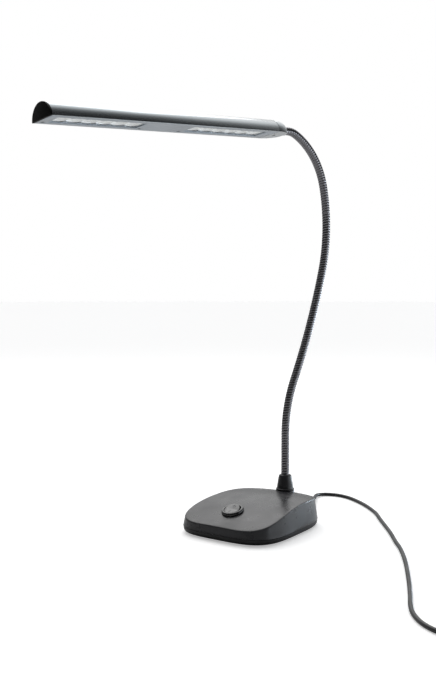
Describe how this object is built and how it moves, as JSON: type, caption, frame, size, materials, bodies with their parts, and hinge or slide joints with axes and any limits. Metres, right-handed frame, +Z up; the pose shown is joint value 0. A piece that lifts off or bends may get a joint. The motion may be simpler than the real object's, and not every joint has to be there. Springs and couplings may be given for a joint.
{
  "type": "piano lamp",
  "caption": "Desk lamp for a piano: weighted wedge base with a round rocker switch, flexible ribbed neck and a long half-round head with light windows underneath.",
  "frame": {"origin": "middle of the base's underside, on the desk", "axes": "+Z up, -Y towards the front of the base, where the switch is, +X to the lamp's left, where the lead ends"},
  "size_m": [0.4575, 0.4193, 0.4216],
  "materials": {
    "shell_plastic": "satin anthracite",
    "black_plastic": "satin black",
    "switch_plastic": "satin black",
    "gloss_black": "gloss black",
    "pad_rubber": "matt black",
    "soft_black": "smooth black",
    "steel": "plated",
    "brass": "bright",
    "black_metal": "black, semi-gloss",
    "bright_metal": "polished",
    "head_metal": "anodised dark grey, satin",
    "white_plastic": "white",
    "board": "white solder resist",
    "emitter": "pale yellow phosphor",
    "clear_pane": "clear"
  },
  "bodies": {
    "base": {"base_shell": "shell_plastic", "base_tray": "black_plastic", "ballast_plate": "steel", "base_pad": "pad_rubber", "case_screws": "steel", "switch_housing": "switch_plastic", "switch_pin": "steel", "switch_terminals": "brass", "lead_bushing": "soft_black", "lead_clamp": "black_plastic", "inner_lead": "soft_black", "neck_socket": "steel", "neck_washer": "steel", "neck_nut": "steel", "neck_collar": "black_plastic", "neck_1": "black_metal", "lead": "soft_black", "lead_coil": "soft_black", "lead_tie": "black_plastic", "adapter_relief": "soft_black", "adapter_housing": "black_plastic", "adapter_cover": "black_plastic", "adapter_pins": "bright_metal"},
    "rocker": {"switch_rocker": "switch_plastic"},
    "neck_2": {"neck_2": "black_metal"},
    "neck_3": {"neck_3": "black_metal"},
    "neck_4": {"neck_4": "black_metal"},
    "neck_5": {"neck_5": "black_metal"},
    "neck_6": {"neck_6": "black_metal"},
    "neck_7": {"neck_7": "black_metal"},
    "head": {"neck_8": "black_metal", "head_ferrule": "bright_metal", "tail_cap": "head_metal", "tail_screw": "steel", "head_shell": "head_metal", "end_cap": "gloss_black", "light_plate": "head_metal", "plate_screws": "steel", "reflector_1": "white_plastic", "reflector_2": "white_plastic", "led_board_1": "board", "led_board_2": "board", "emitters_1": "emitter", "emitters_2": "emitter", "window_pane_1": "clear_pane", "window_pane_2": "clear_pane"}
  },
  "joints": [
    {"name": "switch_rock", "type": "hinge", "parent": "base", "child": "rocker", "pos_m": [0, -0.03828, 0.02377], "axis": [-1, 0, 0], "range_deg": [0, 16]},
    {"name": "neck_bend_1", "type": "hinge", "parent": "base", "child": "neck_2", "pos_m": [0, 0.0552, 0.06598], "axis": [0.9751, -0.2215, 0], "range_deg": [-25, 25]},
    {"name": "neck_bend_2", "type": "hinge", "parent": "neck_2", "child": "neck_3", "pos_m": [0.00101, 0.05963, 0.12636], "axis": [0.2145, 0.9442, -0.2498], "range_deg": [-25, 25]},
    {"name": "neck_bend_3", "type": "hinge", "parent": "neck_3", "child": "neck_4", "pos_m": [0.00595, 0.08137, 0.18282], "axis": [-0.9751, 0.2215, 0], "range_deg": [-25, 25]},
    {"name": "neck_bend_4", "type": "hinge", "parent": "neck_4", "child": "neck_5", "pos_m": [0.01039, 0.10093, 0.24017], "axis": [-0.212, -0.9329, 0.2911], "range_deg": [-25, 25]},
    {"name": "neck_bend_5", "type": "hinge", "parent": "neck_5", "child": "neck_6", "pos_m": [0.01323, 0.11344, 0.29942], "axis": [0.9751, -0.2215, 0], "range_deg": [-25, 25]},
    {"name": "neck_bend_6", "type": "hinge", "parent": "neck_6", "child": "neck_7", "pos_m": [0.0121, 0.10845, 0.35971], "axis": [0.2142, 0.943, 0.2547], "range_deg": [-25, 25]},
    {"name": "neck_bend_7", "type": "hinge", "parent": "neck_7", "child": "head", "pos_m": [0.00417, 0.07353, 0.40689], "axis": [-0.9751, 0.2215, 0], "range_deg": [-25, 25]}
  ]
}
